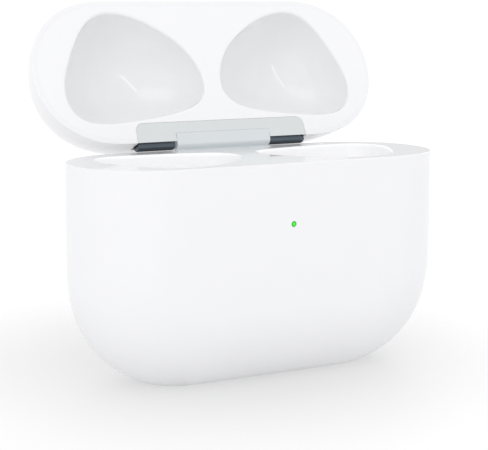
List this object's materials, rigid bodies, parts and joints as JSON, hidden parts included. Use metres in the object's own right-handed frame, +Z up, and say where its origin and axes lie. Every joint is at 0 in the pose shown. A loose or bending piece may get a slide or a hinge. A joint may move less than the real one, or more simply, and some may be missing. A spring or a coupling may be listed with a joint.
{
  "type": "wireless earbuds case",
  "caption": "Pocket charging case for wireless earbuds, a white pebble with a hinged lid open over two egg-shaped wells and a green status light.",
  "frame": {"origin": "centre of the bottom of the box round the case with its lid open, level with the flat foot", "axes": "+X to the right seen from the front, +Y to the back where the hinge is, +Z up"},
  "size_m": [0.0544, 0.0382, 0.0508],
  "materials": {
    "white_gloss": "high gloss polycarbonate",
    "white_satin": "glossy moulded polycarbonate",
    "hinge_metal": "fine satin",
    "dark_metal": "dark satin coating",
    "steel": "satin",
    "magnet": "nickel plated",
    "gold": "gold plated",
    "copper": "enamelled winding",
    "board": "solder mask",
    "black_plastic": "moulded black",
    "ferrite": "matt sheet",
    "cell_wrap": "foil pouch",
    "flex": "polyimide film",
    "clear_guide": "clear moulding",
    "green_light": "lit diffuser"
  },
  "bodies": {
    "base": {"body_shell": "white_gloss", "earbud_tray": "white_satin", "battery_connector": "white_satin", "hinge_body_bracket": "hinge_metal", "port_ring": "hinge_metal", "hinge_pin": "steel", "hinge_body_screw_left": "steel", "hinge_body_screw_right": "steel", "port_shell": "steel", "port_bracket": "steel", "port_screw_left": "steel", "port_screw_right": "steel", "board_screw_left": "steel", "board_screw_right": "steel", "shield_can": "steel", "port_tongue": "black_plastic", "button_switch": "black_plastic", "control_chip": "black_plastic", "lid_sensor": "black_plastic", "contact_block_left": "black_plastic", "contact_block_right": "black_plastic", "led_lens": "green_light", "led_package": "green_light", "light_guide": "clear_guide", "led_board": "flex", "battery_flex": "flex", "main_board": "board", "battery_left": "cell_wrap", "battery_right": "cell_wrap", "charging_coil": "copper", "ferrite_sheet": "ferrite", "bud_magnet_left": "magnet", "bud_magnet_right": "magnet", "catch_magnet_left": "magnet", "catch_magnet_right": "magnet"},
    "lid": {"lid_shell": "white_gloss", "lid_liner": "white_satin", "hinge_lid_plate": "hinge_metal", "hinge_barrel_left": "dark_metal", "hinge_barrel_right": "dark_metal", "hinge_spring_left": "steel", "hinge_spring_right": "steel", "hinge_lid_screw_left": "steel", "hinge_lid_screw_right": "steel", "lid_magnet_left": "magnet", "lid_magnet_right": "magnet", "lid_sensor_magnet": "magnet"},
    "button": {"setup_button": "white_gloss"},
    "contact_left_outer": {"contact_pin_left_outer": "gold"},
    "contact_left_inner": {"contact_pin_left_inner": "gold"},
    "contact_right_inner": {"contact_pin_right_inner": "gold"},
    "contact_right_outer": {"contact_pin_right_outer": "gold"}
  },
  "joints": [
    {"name": "lid_hinge", "type": "hinge", "parent": "base", "child": "lid", "pos_m": [0, 0.00167, 0.03135], "axis": [1, 0, 0], "range_deg": [0, 114.5]},
    {"name": "button_press", "type": "slide", "parent": "base", "child": "button", "axis": [0, -1, 0], "range_m": [0, 0.0003], "stiffness_N_per_m": 600},
    {"name": "contact_left_outer_press", "type": "slide", "parent": "base", "child": "contact_left_outer", "axis": [0, 0, -1], "range_m": [0, 0.0005], "stiffness_N_per_m": 80},
    {"name": "contact_left_inner_press", "type": "slide", "parent": "base", "child": "contact_left_inner", "axis": [0, 0, -1], "range_m": [0, 0.0005], "stiffness_N_per_m": 80},
    {"name": "contact_right_inner_press", "type": "slide", "parent": "base", "child": "contact_right_inner", "axis": [0, 0, -1], "range_m": [0, 0.0005], "stiffness_N_per_m": 80},
    {"name": "contact_right_outer_press", "type": "slide", "parent": "base", "child": "contact_right_outer", "axis": [0, 0, -1], "range_m": [0, 0.0005], "stiffness_N_per_m": 80}
  ]
}
